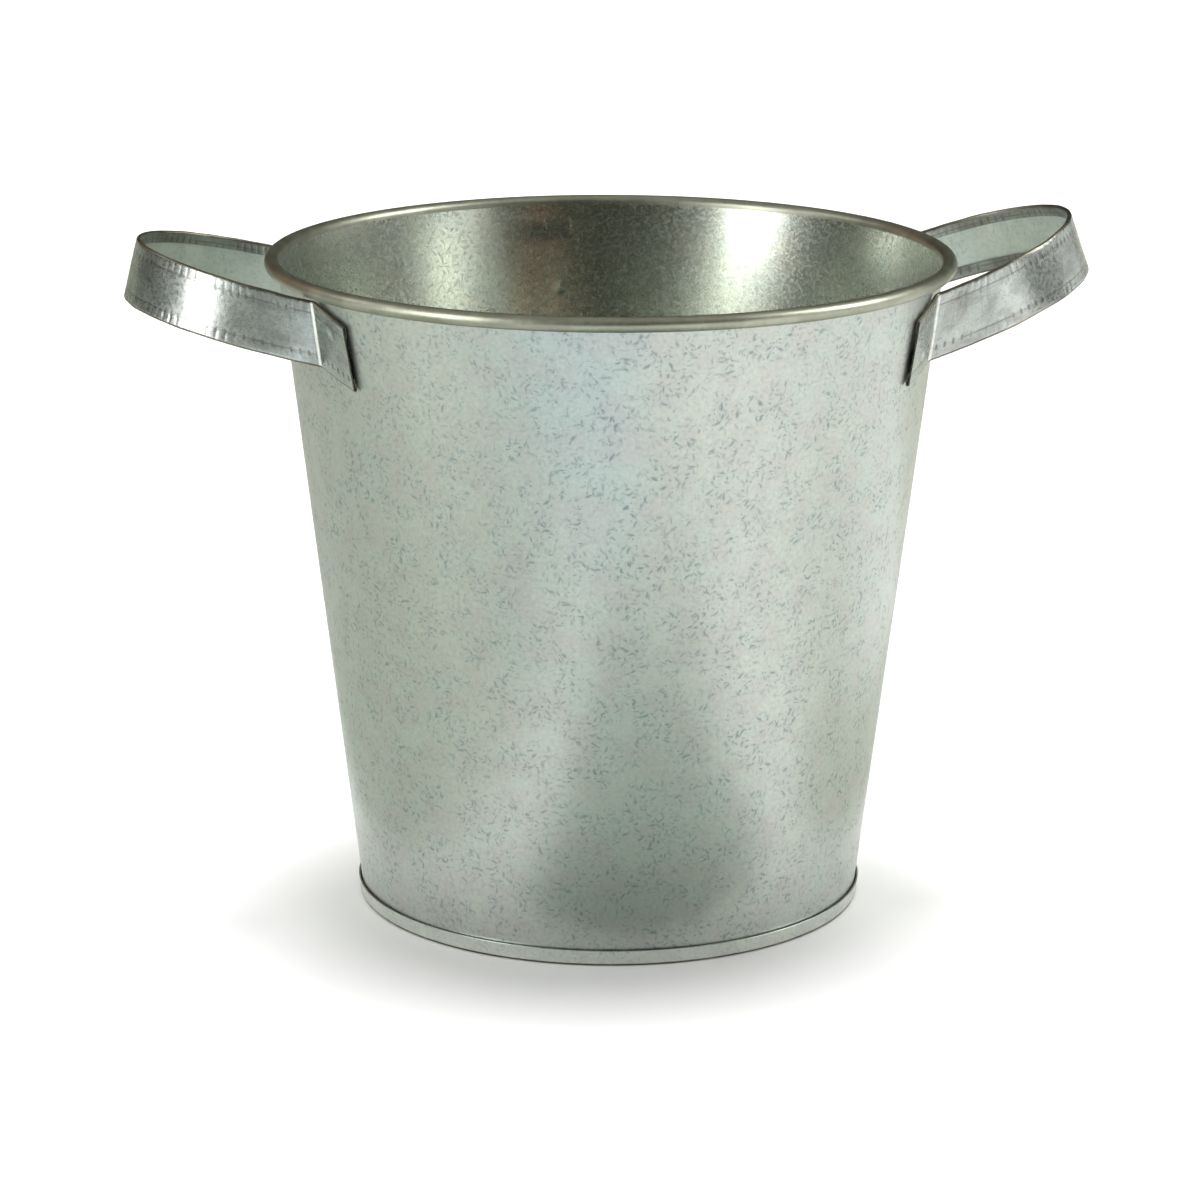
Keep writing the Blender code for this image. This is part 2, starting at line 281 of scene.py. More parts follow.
class Finish:
    """A material under construction: its Principled shader and short ways to add nodes."""

    def __init__(self, name):
        self.material = bpy.data.materials.new(name)
        self.material.use_nodes = True
        self.tree = self.material.node_tree
        self.shader = next(n for n in self.tree.nodes if n.type == "BSDF_PRINCIPLED")

    def put(self, socket, value):
        if isinstance(value, bpy.types.NodeSocket):
            self.tree.links.new(value, socket)
        else:
            socket.default_value = value

    def add(self, kind, inputs, **settings):
        node = self.tree.nodes.new(kind)
        for key, value in settings.items():
            setattr(node, key, value)
        for key, value in inputs.items():
            self.put(node.inputs[key], value)
        return node

    def math(self, operation, a, b=0.0):
        return self.add("ShaderNodeMath", {0: a, 1: b}, operation=operation).outputs[0]

    def vector(self, operation, a, b=(0.0, 0.0, 0.0)):
        return self.add("ShaderNodeVectorMath", {0: a, 1: b}, operation=operation).outputs[0]

    def length(self, a):
        return self.add("ShaderNodeVectorMath", {0: a}, operation="LENGTH").outputs["Value"]

    def scaled(self, a, by):
        return self.add("ShaderNodeVectorMath", {0: a, "Scale": by}, operation="SCALE").outputs[0]

    def noise(self, place, scale, detail=2.0, roughness=0.5):
        return self.add("ShaderNodeTexNoise", {"Vector": place, "Scale": scale, "Detail": detail,
                                               "Roughness": roughness})

    def share(self, value, low, high, to_low=0.0, to_high=1.0):
        """Value mapped smoothly from low..high to to_low..to_high."""
        return self.add("ShaderNodeMapRange", {"Value": value, "From Min": low, "From Max": high,
                                               "To Min": to_low, "To Max": to_high},
                        interpolation_type="SMOOTHSTEP").outputs["Result"]

    def mix(self, factor, a, b):
        node = self.tree.nodes.new("ShaderNodeMix")
        node.data_type = "RGBA"
        self.put(node.inputs["Factor"], factor)
        for socket, value in zip([s for s in node.inputs if s.type == "RGBA"], (a, b)):
            self.put(socket, value)
        return next(s for s in node.outputs if s.type == "RGBA")

    def millimetres(self):
        """The place on the flat sheet, in millimetres."""
        place = self.add("ShaderNodeUVMap", {}, uv_map="sheet").outputs["UV"]
        return self.scaled(place, 1.0 / MILLIMETRE)

    def needles(self, place, spacing, length, width, share, bend, shift):
        """Short bent needles, at most one to a cell: 1 along a needle's middle, 0 outside."""
        moved = self.vector("ADD", place, (shift, shift * 0.37, 0.0))
        wander = self.noise(moved, 0.45, 1.0).outputs["Color"]
        wander = self.scaled(self.vector("SUBTRACT", wander, (0.5, 0.5, 0.5)), bend)
        bent = self.vector("ADD", moved, wander)
        cells = self.add("ShaderNodeTexVoronoi", {"Vector": bent, "Scale": 1.0 / spacing},
                         voronoi_dimensions="2D")
        colour = self.add("ShaderNodeSeparateColor", {"Color": cells.outputs["Color"]})
        local = self.vector("SUBTRACT", bent, cells.outputs["Position"])
        turned = self.add("ShaderNodeVectorRotate",
                          {"Vector": local, "Angle": self.math("MULTIPLY", colour.outputs[0], math.tau)},
                          rotation_type="Z_AXIS").outputs[0]
        reach = self.length(self.vector("MULTIPLY", turned, (1.0 / length, 1.0 / width, 0.0)))
        mask = self.share(reach, 1.0, 0.15)
        kept = self.share(colour.outputs[1], share + 0.05, share - 0.05)
        weight = self.share(colour.outputs[2], 0.0, 1.0, 0.45, 1.0)
        return self.math("MULTIPLY", self.math("MULTIPLY", mask, kept), weight)


# Painted highlight: the colour of the glints painted into the inside.
PAINTED_GLINT = (0.93, 0.94, 0.91, 1.0)
STAIN = (0.17, 0.155, 0.135, 1.0)
# Painted shade: the colour of the dark lines painted along the hems' grooves and crimp dents.
PAINTED_CRIMP_SHADE = (0.10, 0.095, 0.075, 1.0)


def galvanised(name, tones, fleck, fleck_strength, roughness, mottle, needles, bump, haze=0.0, glints=0.0,
               stains=0.0, crimps=None):
    """Hot-dip zinc: soft clouds of tint, fine mottling, and dark needles where the crystals end.

    needles holds layers of (spacing, length, width, share of cells); crimps is (line, reach, strength) of the
    painted shade along the hems and crimps."""
    finish = Finish(name)
    place = finish.millimetres()
    clouds = finish.noise(place, 0.022, 2.0).outputs["Fac"]
    tint = finish.noise(finish.vector("ADD", place, (310.0, 95.0, 0.0)), 0.10, 2.0).outputs["Fac"]
    colour = finish.mix(finish.share(clouds, 0.35, 0.65), tones[0], tones[1])
    colour = finish.mix(finish.share(tint, 0.40, 0.62), colour, tones[2])

    grain = finish.noise(place, 0.8, 4.0, 0.65).outputs["Fac"]
    bright = finish.share(grain, 0.25, 0.75, 1.0 - mottle, 1.0 + mottle)
    colour = finish.scaled(colour, bright)

    crowd = finish.noise(place, 0.115, 2.0, 0.6).outputs["Fac"]
    crowded = finish.share(crowd, 0.36, 0.60, 0.22, 1.0)
    if haze:
        colour = finish.mix(finish.math("MULTIPLY", crowded, haze), colour, fleck)
    marks = None
    for i, (spacing, length, width, share) in enumerate(needles):
        layer = finish.needles(place, spacing, length, width, share, 1.6, 40.0 * i)
        marks = layer if marks is None else finish.math("MAXIMUM", marks, layer)
    marks = finish.math("MULTIPLY", marks, crowded)
    colour = finish.mix(finish.math("MULTIPLY", marks, fleck_strength), colour, fleck)
    # Painted glints: bright needle specks mixed into the colour as highlights.
    if glints:
        painted_glint_mask = finish.needles(place, 1.9, 0.8, 0.34, 0.5, 1.2, 205.0)
        colour = finish.mix(finish.math("MULTIPLY", painted_glint_mask, glints), colour, PAINTED_GLINT)
    rough = finish.share(grain, 0.2, 0.8, roughness - 0.05, roughness + 0.06)
    rough = finish.math("ADD", rough, finish.math("MULTIPLY", marks, 0.10))
    if stains:
        stretched = finish.vector("MULTIPLY", place, (0.6, 1.0, 1.0))
        smear = finish.share(finish.noise(stretched, 0.19, 5.0, 0.68).outputs["Fac"], 0.42, 0.76)
        stretched = finish.vector("MULTIPLY", place, (1.0, 0.16, 1.0))
        streaks = finish.noise(stretched, 0.9, 3.0, 0.6).outputs["Fac"]
        smear = finish.math("MAXIMUM", smear, finish.share(streaks, 0.50, 0.78, 0.0, 0.7))
        colour = finish.mix(finish.math("MULTIPLY", smear, stains), colour, STAIN)
        rough = finish.math("ADD", rough, finish.math("MULTIPLY", smear, 0.07))
    # Painted shade along the hems' grooves and in the crimps' dents.
    if crimps:
        colour = finish.mix(painted_crimp_shade(finish, place, *crimps), colour, PAINTED_CRIMP_SHADE)
    finish.put(finish.shader.inputs["Base Color"], colour)
    finish.put(finish.shader.inputs["Roughness"], rough)
    finish.shader.inputs["Metallic"].default_value = 1.0

    ripple = finish.noise(place, 0.16, 3.0, 0.55).outputs["Fac"]
    relief = finish.math("ADD", finish.math("MULTIPLY", ripple, 1.6), finish.math("MULTIPLY", grain, 0.35))
    bumped = finish.add("ShaderNodeBump", {"Height": relief, "Distance": bump, "Strength": 1.0})
    finish.put(finish.shader.inputs["Normal"], bumped.outputs["Normal"])
    return finish.material


def painted_crimp_shade(finish, place, line, reach, strength):
    """Painted shade beside a strap's hems, in millimetres: dark lines in the hem's groove and in the dents of
    the crimping tool's teeth.
    """
    parts = finish.add("ShaderNodeSeparateXYZ", {0: place})
    away = finish.math("SUBTRACT", finish.math("ABSOLUTE", parts.outputs[1]), line)
    away = finish.math("ABSOLUTE", away)
    patches = finish.noise(place, 0.075, 2.0).outputs["Fac"]
    groove = finish.share(away, 0.35, 0.05)
    groove = finish.math("MULTIPLY", groove, finish.share(patches, 0.36, 0.56, 0.15, 0.8))
    turn = finish.math("MULTIPLY", parts.outputs[0], math.tau / CRIMP_PITCH * MILLIMETRE)
    wave = finish.math("COSINE", turn)
    teeth = finish.math("MULTIPLY", finish.share(wave, 0.25, 0.95), finish.share(away, reach, reach * 0.35))
    teeth = finish.math("MULTIPLY", teeth, finish.share(patches, 0.60, 0.42))
    return finish.math("MULTIPLY", finish.math("MAXIMUM", groove, teeth), strength)


def wire_finish():
    """Drawn steel wire, faintly scratched along its length."""
    finish = Finish("wire_steel")
    place = finish.scaled(finish.add("ShaderNodeTexCoord", {}).outputs["Object"], 1.0 / MILLIMETRE)
    scratches = finish.noise(place, 0.9, 3.0).outputs["Fac"]
    finish.put(finish.shader.inputs["Base Color"],
               finish.mix(scratches, (0.34, 0.34, 0.32, 1.0), (0.50, 0.50, 0.48, 1.0)))
    finish.put(finish.shader.inputs["Roughness"], finish.share(scratches, 0.2, 0.8, 0.28, 0.42))
    finish.shader.inputs["Metallic"].default_value = 1.0
    return finish.material


NEEDLES = ((2.9, 1.75, 0.60, 0.72), (2.0, 1.15, 0.46, 0.58), (1.35, 0.55, 0.36, 0.40))
SPECKS = (1.5, 0.6, 0.2, 0.4)
SCRATCHES = (2.0, 0.9, 0.30, 0.40)
FLECK = (0.185, 0.245, 0.255, 1.0)

outside = galvanised(
    "zinc_outside",
    tones=((0.450, 0.494, 0.450, 1.0), (0.468, 0.502, 0.454, 1.0), (0.454, 0.467, 0.432, 1.0)),
    fleck=FLECK, fleck_strength=0.80, roughness=0.36, mottle=0.09, needles=NEEDLES, bump=0.000030, haze=0.07)
inside = galvanised(
    "zinc_inside",
    tones=((0.58, 0.605, 0.53, 1.0), (0.62, 0.635, 0.56, 1.0), (0.56, 0.60, 0.54, 1.0)),
    fleck=FLECK, fleck_strength=0.38, roughness=0.25, mottle=0.08, needles=NEEDLES[:2], bump=0.000017,
    glints=0.22)
bead = galvanised(
    "zinc_bead",
    tones=((0.325, 0.335, 0.265, 1.0), (0.375, 0.38, 0.31, 1.0), (0.295, 0.30, 0.24, 1.0)),
    fleck=FLECK, fleck_strength=0.35, roughness=0.40, mottle=0.09, needles=((1.7, 0.75, 0.17, 0.50),),
    bump=0.000010)
pan_finish = galvanised(
    "zinc_pan",
    tones=((0.60, 0.645, 0.59, 1.0), (0.63, 0.66, 0.60, 1.0), (0.58, 0.61, 0.57, 1.0)),
    fleck=FLECK, fleck_strength=0.40, roughness=0.42, mottle=0.07, needles=NEEDLES[1:], bump=0.000020)
strap_finish = galvanised(
    "zinc_strap",
    tones=((0.405, 0.445, 0.420, 1.0), (0.465, 0.495, 0.47, 1.0), (0.36, 0.39, 0.37, 1.0)),
    fleck=(0.12, 0.125, 0.12, 1.0), fleck_strength=0.45, roughness=0.26, mottle=0.09,
    needles=(SCRATCHES, SPECKS), bump=0.000022, stains=0.52, crimps=(5.6, 1.1, 0.70))
# Painted shade: dark brown, for the straps' rolled and cut edges and the ring's underside.
edge_shade_finish = galvanised(
    "zinc_edge_shade",
    tones=((0.17, 0.155, 0.115, 1.0), (0.24, 0.225, 0.175, 1.0), (0.13, 0.12, 0.09, 1.0)),
    fleck=(0.05, 0.045, 0.035, 1.0), fleck_strength=0.6, roughness=0.38, mottle=0.12,
    needles=(SPECKS,), bump=0.000020)
hem_finish = galvanised(
    "zinc_hem",
    tones=((0.33, 0.355, 0.320, 1.0), (0.41, 0.425, 0.39, 1.0), (0.27, 0.275, 0.25, 1.0)),
    fleck=(0.09, 0.09, 0.08, 1.0), fleck_strength=0.6, roughness=0.32, mottle=0.12,
    needles=(SCRATCHES,), bump=0.000035, stains=0.5, crimps=(11.2, 1.5, 0.62))
strap_back_finish = galvanised(
    "zinc_strap_back",
    tones=((0.63, 0.70, 0.64, 1.0), (0.68, 0.72, 0.65, 1.0), (0.58, 0.64, 0.58, 1.0)),
    fleck=FLECK, fleck_strength=0.30, roughness=0.42, mottle=0.08, needles=NEEDLES[1:], bump=0.000020)
# Painted highlight: the bend is lighter and rougher than the face, standing in for the light caught along it.
bend_highlight_finish = galvanised(
    "zinc_bend_highlight",
    tones=((0.70, 0.705, 0.66, 1.0), (0.76, 0.76, 0.72, 1.0), (0.62, 0.62, 0.58, 1.0)),
    fleck=(0.30, 0.29, 0.27, 1.0), fleck_strength=0.5, roughness=0.46, mottle=0.10,
    needles=(SPECKS,), bump=0.000030)


# ---------------------------------------------------------------- the wall

def wall_rows():
    """Heights of the wall's rows, closer together at each weld."""
    welds = [WELD_TOP - WELD_PITCH * i for i in range(WELD_COUNT)]
    top = BEAD_Z - 0.0005
    rows, z = [], top
    while z > FOOT_Z + 0.0012:
        rows.append(z)
        near = min(abs(z - weld) for weld in welds)
        z -= WELD_ROW_STEP if near < WELD_RADIUS * 1.5 else ROW_STEP
    rows.append(FOOT_Z)
    return rows, welds


def wall_angles():
    """Angles around the wall, from the lap's edge once around to just short of it."""
    around = math.tau * LAP_RADIUS
    spread = [0.0, HAIR]
    while spread[-1] < around - COLUMNS_END:
        near = min(spread[-1], around - spread[-1])
        spread.append(spread[-1] + min(COLUMN_MOST, COLUMN_LEAST + COLUMN_GROWTH * near))
    lap = around - LAP_WIDTH
    spread = [s for s in spread if s < lap - 0.0006]
    spread += [lap - HAIR, lap]
    spread += [lap + LAP_WIDTH * (i + 1) / LAP_COLUMNS for i in range(LAP_COLUMNS - 1)]
    spread.append(around - HAIR)
    return [LAP_EDGE - math.tau + s / LAP_RADIUS for s in spread]


def make_wall():
    """The wall with its rolled rim: one section of the sheet, repeated around the pail."""
    rows, welds = wall_rows()
    lean = math.degrees(TAPER)
    curl = arc(BEAD_R, BEAD_Z, BEAD_MIDDLE, CURL_END, 180 - lean, CURL_STEPS)
    line = curl + [(wall_middle(z), z) for z in rows]
    lengths = line_lengths(line)
    wall_start, wall_end = len(curl), len(curl) + len(rows)
    top_slant = wall_middle(BEAD_Z) / math.sin(TAPER) + lengths[wall_start]
    loop = sheet_loop(line, SHEET)
    angles = wall_angles()
    lap_inner_start = LAP_EDGE - LAP_WIDTH / LAP_RADIUS

    def lap_step(angle, z, side):
        """How far a face of the wall lies inside the pail's own radius because of the lap."""
        after_edge = (angle - (LAP_EDGE - math.tau)) * LAP_RADIUS
        fade = smooth_step((LAP_TOP - z) / LAP_FADE) * smooth_step((z - LAP_FOOT) / LAP_FADE)
        if after_edge > TINY and angle < LAP_EDGE - math.pi:
            return LAP_STEP * fade * (1.0 - smooth_step(after_edge / LAP_RUN_OUT))
        if side < 0 and angle > lap_inner_start - TINY / 10:
            return LAP_STEP * fade
        return 0.0

    weld_angle = LAP_EDGE - LAP_WIDTH / 2 / LAP_RADIUS
    rings = []
    for angle in angles:
        ring = []
        ray = Vector((math.cos(angle), math.sin(angle), 0.0))
        for middle, normal, offset, index, side in loop:
            place = middle + normal * offset
            inward = 0.0
            if wall_start <= index < wall_end:
                z = middle.y
                inward = lap_step(angle, z, side)
                weld = min(welds, key=lambda height: abs(height - z))
                beside = (angle - weld_angle) * LAP_RADIUS
                distance = math.hypot(beside, z - weld)
                if distance < WELD_RADIUS * WELD_RING:
                    inward += weld_dimple(distance) if side > 0 else -WELD_BACK * weld_dimple(distance)
            fade = smooth_step((middle.y - WAVE_FOOT) / WAVE_FOOT_RUN)
            fade *= smooth_step((BEAD_Z - middle.y) / WAVE_TOP_RUN)
            inward -= waves(angle, middle.y) * fade
            r = place.x - inward * math.cos(TAPER)
            ring.append((ray.x * r, ray.y * r, place.y + inward * math.sin(TAPER)))
        rings.append(ring)

    def find_uv(i, k, face):
        """The place on the flat sheet: the cone unrolled."""
        angle = angles[i] if i < len(angles) else angles[0] + math.tau
        slant = top_slant - lengths[loop[k][3]]
        turn = (angle - LAP_EDGE + math.pi) * math.sin(TAPER)
        return slant * math.sin(turn), slant * math.cos(turn)

    def pick_material(face):
        """0 the outside, 1 the inside, 2 the rim."""
        indices = [loop[k][3] for _, k in face]
        sides = {loop[k][4] for _, k in face}
        if max(indices) <= wall_start and -1 in sides:
            return 2
        if sides == {-1} and min(indices) >= wall_start - 1:
            return 1
        return 0

    return grid_piece("pail_wall", rings, True, [outside, inside, bead], pick_material, find_uv, "body_shell")


# ---------------------------------------------------------------- the bottom pan

def make_bottom():
    """The pan: floor, fillet, side, the turn under the wall's foot, and the ring around it."""
    lean = math.degrees(TAPER)
    inner_r = TURN_R - RING_FLAT / 2
    outer_r = TURN_R + RING_FLAT / 2
    side_r = inner_r - TURN_RADIUS * math.cos(TAPER)
    side_z = TURN_Z + TURN_RADIUS * math.sin(TAPER)
    fillet_z = FLOOR_HEIGHT - FLOOR_FILLET
    fillet_r = side_r + (fillet_z - side_z) * math.tan(TAPER) - FLOOR_FILLET / math.cos(TAPER)
    floor = [(FLOOR_START + (fillet_r - FLOOR_START) * i / FLOOR_STEPS, FLOOR_HEIGHT)
             for i in range(FLOOR_STEPS)]
    line = floor + arc(fillet_r, fillet_z, FLOOR_FILLET, 90, -lean, PAN_ARC_STEPS)
    inner_turn = len(line)
    line += arc(inner_r, TURN_Z, TURN_RADIUS, 180 - lean, 270, PAN_ARC_STEPS)
    outer_turn = len(line)
    line += arc(outer_r, TURN_Z, TURN_RADIUS, 270, 360 - lean, PAN_ARC_STEPS)
    ring_r, ring_z = line[-1]
    for i in range(1, RING_STEPS + 1):
        rise = (RING_HEIGHT - ring_z) * i / RING_STEPS
        # Just under its edge the ring opens a little, away from the wall.
        flare = RING_FLARE * smooth_step((i - 3) / (RING_STEPS - 3))
        line.append((ring_r + rise * math.tan(TAPER) + flare, ring_z + rise))
    lengths = line_lengths(line)
    loop = sheet_loop(line, PAN_SHEET)
    rings = []
    for i in range(PAN_COLUMNS):
        angle = math.tau * i / PAN_COLUMNS
        ray = Vector((math.cos(angle), math.sin(angle), 0.0))
        # The ring is rolled shut in many small bites.
        bite = noise.noise(Vector((math.cos(angle), math.sin(angle), 0.0)) * 21.0)
        slow = noise.noise(Vector((math.cos(angle), math.sin(angle), 4.0)) * 2.5)
        ring = []
        for middle, normal, offset, index, _ in loop:
            place = middle + normal * offset
            rolled = (RING_BITE * bite + RING_WANDER * slow) if index > outer_turn else 0.0
            domed = 0.0
            if index < len(floor):
                domed = FLOOR_DOME * math.cos(math.pi / 2 * middle.x / fillet_r)
            r = place.x + rolled
            ring.append((ray.x * r, ray.y * r, place.y + domed))
        rings.append(ring)

    def find_uv(i, k, face):
        """The place on the flat sheet: a disc for the floor, and beside it a strip for the turn and ring."""
        angle = math.tau * i / PAN_COLUMNS
        index = loop[k][3]
        if max(loop[m][3] for _, m in face) < len(floor) + PAN_ARC_STEPS / 2:
            r = lengths[index]
            return r * math.cos(angle) + 0.4, r * math.sin(angle)
        return angle * TURN_R, lengths[index]

    def pick_material(face):
        """0 the pan, 1 the ring's underside, painted dark as its contact shadow on the floor."""
        corners = [loop[k] for _, k in face]
        low = all(middle.y + normal.y * offset < RING_SHADOW_TOP for middle, normal, offset, _, _ in corners)
        return 1 if low and min(corner[3] for corner in corners) > inner_turn else 0

    finishes = [pan_finish, edge_shade_finish]
    return grid_piece("pail_bottom", rings, True, finishes, pick_material, find_uv, "bottom_pan")


# ---------------------------------------------------------------- the handles

class Strap:
    """Half of a handle's strap on the +X side, from the loop's end to the free end on the wall."""

    def __init__(self, tilt, edge_height):
        self.tilt = tilt
        self.out = Vector((math.cos(tilt), 0.0, math.sin(tilt)))
        self.up = Vector((-math.sin(tilt), 0.0, math.cos(tilt)))
        self.side = Vector((0.0, 1.0, 0.0))
        self.centre = Vector((LOOP_EDGE_X, 0.0, edge_height)) - self.up * (STRAP_WIDTH / 2)
        self.find_corner()
        self.find_bend()

    def tab_radius(self, z):
        """Radius of the middle of the strap's face where it lies on the wall."""
        stack = SHEET / 2 + GAP + SLACK + STRAP_SHEET / 2 + HEM_SPACING
        return wall_middle(z) + stack / math.cos(TAPER)

    def find_corner(self):
        """Where the straight arm's middle line would meet the tab's."""
        x = self.centre.x
        for _ in range(CORNER_ROUNDS):
            z = self.centre.z + (x - self.centre.x) * math.tan(self.tilt)
            x = math.sqrt(self.tab_radius(z) ** 2 - LOOP_HALF_WIDTH ** 2)
        self.corner = Vector((x, LOOP_HALF_WIDTH, z))
        self.corner_angle = math.atan2(LOOP_HALF_WIDTH, x)

    def find_bend(self):
        """The bend between arm and tab, about an axis that lies in the wall."""
        angle = self.corner_angle
        self.wall_normal = Vector((math.cos(angle) * math.cos(TAPER), math.sin(angle) * math.cos(TAPER),
                                   -math.sin(TAPER)))
        self.axis = self.wall_normal.cross(self.side)
        if self.axis.z < 0.0:
            self.axis.negate()
        self.axis.normalize()
        self.slant = self.axis.dot(self.out) / self.axis.dot(self.up)
        inward = -self.out - self.axis * self.axis.dot(-self.out)
        self.inward = inward.normalized()
        self.turn = math.acos(self.side.dot(self.wall_normal))
        setback = BEND_RADIUS * math.tan(self.turn / 2) * math.sqrt(1 + self.slant ** 2)
        self.bend_start = self.corner + self.out * setback
        run = (self.centre.x - self.bend_start.x) / math.cos(self.tilt)
        self.arm_end = math.pi / 2 + run / LOOP_LENGTH

    def loop_place(self, phase, across, outward):
        """A point of the half-oval loop and the straight arm that goes on from it."""
        fan = smooth_step((phase - FAN_START) / (self.arm_end - FAN_START))
        phase -= across * self.slant * fan / LOOP_LENGTH
        if phase < math.pi / 2:
            along = LOOP_LENGTH * math.cos(phase)
            beside = LOOP_HALF_WIDTH * math.sin(phase)
        else:
            along = -LOOP_LENGTH * (phase - math.pi / 2)
            beside = LOOP_HALF_WIDTH
        quarter = min(phase, math.pi / 2)
        normal = self.out * LOOP_HALF_WIDTH * math.cos(quarter) + self.side * LOOP_LENGTH * math.sin(quarter)
        middle = self.centre + self.out * along + self.side * beside
        return middle + self.up * across + normal.normalized() * outward

    def bend_place(self, angle, across, outward):
        """A point of the rounded bend."""
        normal = self.side * math.cos(angle) - self.inward * math.sin(angle)
        hub = self.bend_start + self.side * BEND_RADIUS
        width = self.axis * math.sqrt(1 + self.slant ** 2)
        slide = self.axis * (-BEND_RADIUS * angle * self.slant)
        return hub - normal * BEND_RADIUS + slide + width * across + normal * outward

    def tab_place(self, share, across, outward):
        """A point of the end that lies on the wall."""
        start = self.bend_place(self.turn, 0.0, 0.0)
        start_angle = math.atan2(start.y, start.x)
        end_angle = self.corner_angle + TAB_LENGTH / self.corner.xy.length
        angle = start_angle + (end_angle - start_angle) * share
        z = start.z - math.tan(TAB_FALL) * (angle - start_angle) * start.xy.length
        radius = self.tab_radius(z)
        ray = Vector((math.cos(angle), math.sin(angle), 0.0))
        around = Vector((-math.sin(angle), math.cos(angle), 0.0))
        generator = Vector((ray.x * math.sin(TAPER), ray.y * math.sin(TAPER), math.cos(TAPER)))
        upright = generator / math.cos(TAB_FALL) - around * math.tan(TAB_END_LEAN)
        leaning = self.axis * math.sqrt(1 + self.slant ** 2)
        width = leaning.lerp(upright, share)
        normal = Vector((ray.x * math.cos(TAPER), ray.y * math.cos(TAPER), -math.sin(TAPER)))
        return Vector((radius * ray.x, radius * ray.y, z)) + width * across + normal * outward


def strap_line():
    """The middle line of the strap's section as (across, out): hem, rolled edge, face, rolled edge, hem."""
    roll = HEM_SPACING / 2
    roll_centre = STRAP_WIDTH / 2 - roll - STRAP_SHEET / 2
    hem_end = STRAP_WIDTH / 2 - HEM_WIDTH
    half = [(roll_centre * i / (FACE_STEPS / 2), 0.0) for i in range(1, FACE_STEPS // 2)]
    for i in range(ROLL_STEPS + 1):
        angle = math.pi * i / ROLL_STEPS
        half.append((roll_centre + roll * math.sin(angle), -roll + roll * math.cos(angle)))
    for i in range(1, HEM_STEPS + 1):
        share = i / HEM_STEPS
        half.append((blend(roll_centre, hem_end, share), -blend(HEM_SPACING, HEM_SHUT, share)))
    lower = [(-across, out) for across, out in reversed(half)]
    return lower + [(0.0, 0.0)] + half


def strap_relief(along, across, seed):
    """Height of the strap's face over its smooth shape: hand-formed dents, hem lines and crimp marks."""
    millimetres = along * 1000.0
    place = Vector((millimetres, across * 1000.0, seed))
    dents = DENT_SLOW * noise.noise(place * 0.055)
    dents += DENT_QUICK * noise.noise(place * 0.16 + Vector((9.0, 4.0, 2.0)))
    hem_line = (abs(across) - (STRAP_WIDTH / 2 - HEM_WIDTH)) / GROOVE_WIDTH
    groove = -GROOVE_DEPTH * math.exp(-hem_line * hem_line)
    edge = smooth_step((abs(across) - STRAP_WIDTH / 2 + HEM_WIDTH) / HEM_INNER_RUN)
    edge *= smooth_step((STRAP_WIDTH / 2 - abs(across)) / HEM_OUTER_RUN)
    side = 31.0 if across > 0 else 57.0
    wave = noise.noise(Vector((millimetres * 0.11, side, seed)))
    bite = math.cos(math.tau * along / CRIMP_PITCH)
    patchy = smooth_step(0.5 + 1.6 * noise.noise(Vector((millimetres * 0.06, side, seed + 4.0))))
    crimps = -CRIMP_DEPTH * smooth_step((bite - 0.35) / 0.65) * patchy
    return dents + groove + edge * (crimps + HEM_WAVE * wave)


